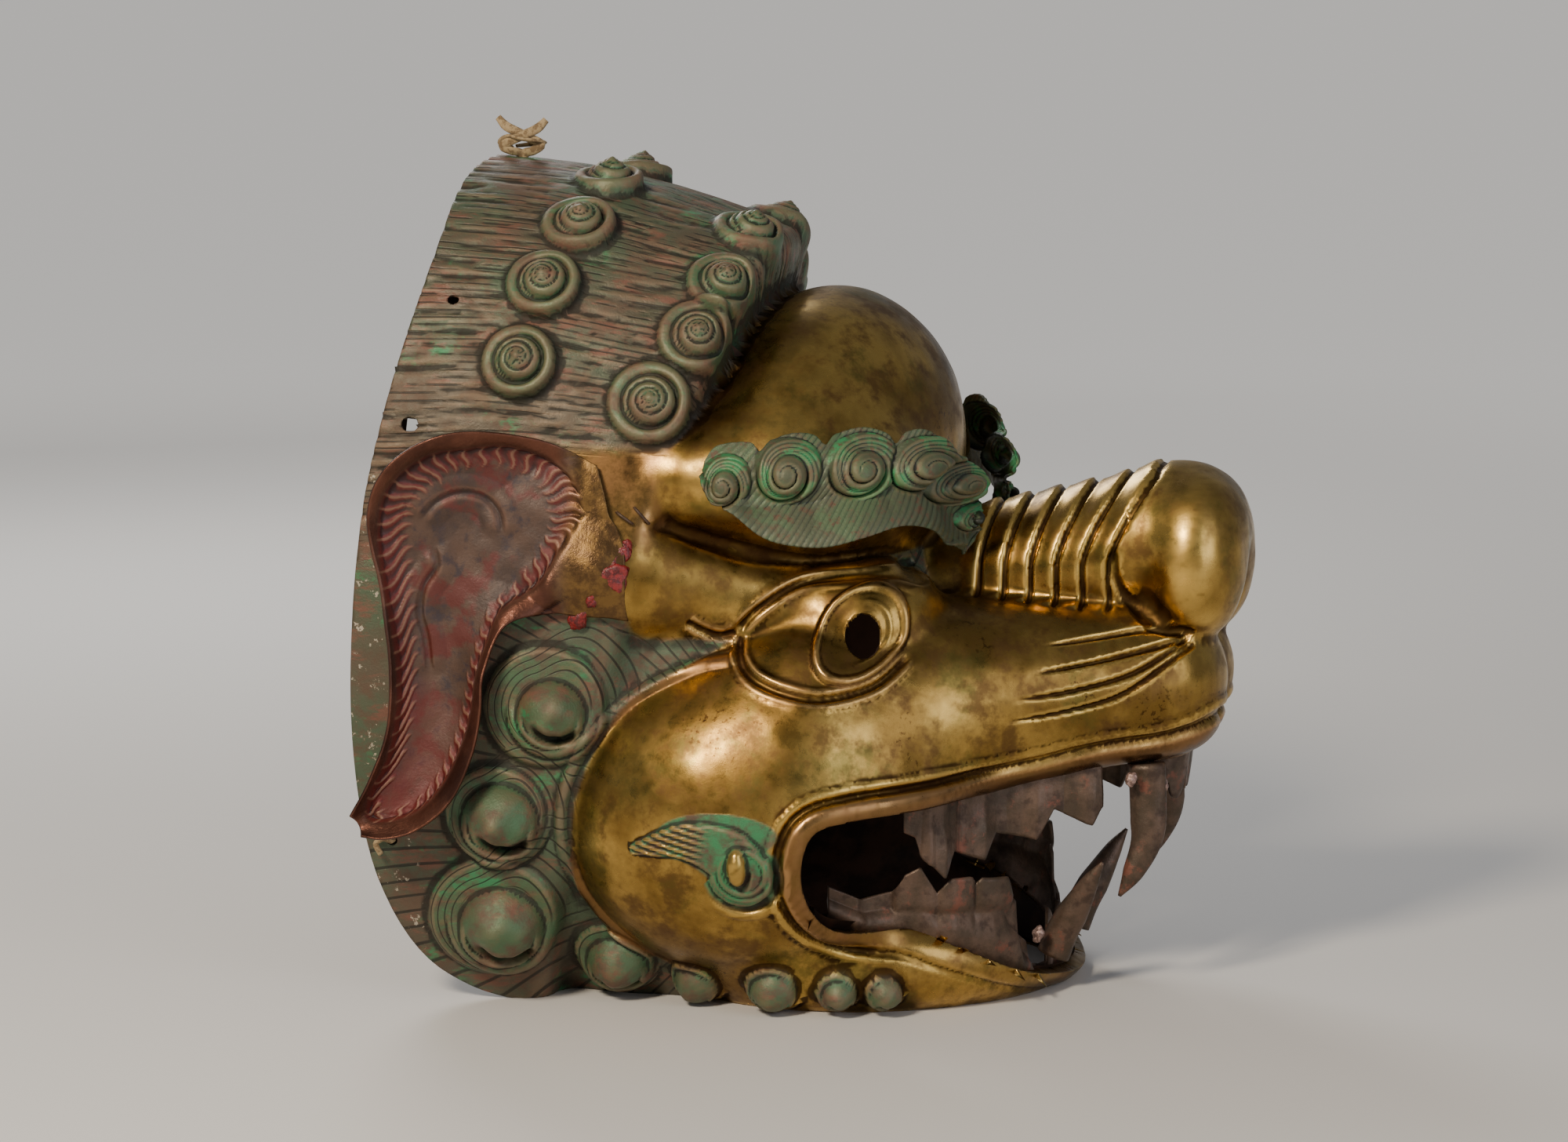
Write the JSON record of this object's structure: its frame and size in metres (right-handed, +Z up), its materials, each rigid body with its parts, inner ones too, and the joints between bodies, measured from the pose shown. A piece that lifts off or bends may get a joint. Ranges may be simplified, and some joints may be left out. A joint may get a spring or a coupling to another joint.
{
  "type": "snow lion mask",
  "caption": "Hollow repousse head of a snow lion with open mouth, bulbous nose, curled mane, hanging ears and scalloped brows; stands on its lower edge.",
  "frame": {"origin": "middle of the object's box in X and Y, on the surface that the lower edge stands on", "axes": "+X to the nose, +Y to the mask's left side, +Z up"},
  "size_m": [0.4041, 0.3228, 0.4157],
  "materials": {
    "gilt_copper": "fire-gilt copper sheet, worn to brown copper on the ridges, dull green pigment on hair and mane",
    "red_pigment_on_copper": "matt red pigment over brown copper, rolled rim rubbed bare",
    "green_pigment_on_copper": "matt green pigment over copper, worn on the curls",
    "brown_copper": "bare brown copper with a dull polish",
    "cord_fibre": "old twisted plant-fibre cord"
  },
  "bodies": {
    "root": {"head_shell": "gilt_copper", "ear_right": "red_pigment_on_copper", "ear_left": "red_pigment_on_copper", "brow_right": "green_pigment_on_copper", "brow_left": "green_pigment_on_copper", "upper_molars_right": "brown_copper", "upper_molars_left": "brown_copper", "upper_canine_right": "brown_copper", "upper_canine_left": "brown_copper", "lower_canine_right": "brown_copper", "lower_canine_left": "brown_copper", "upper_incisors": "brown_copper", "lower_gum": "brown_copper", "crown_tie": "cord_fibre"}
  },
  "joints": []
}
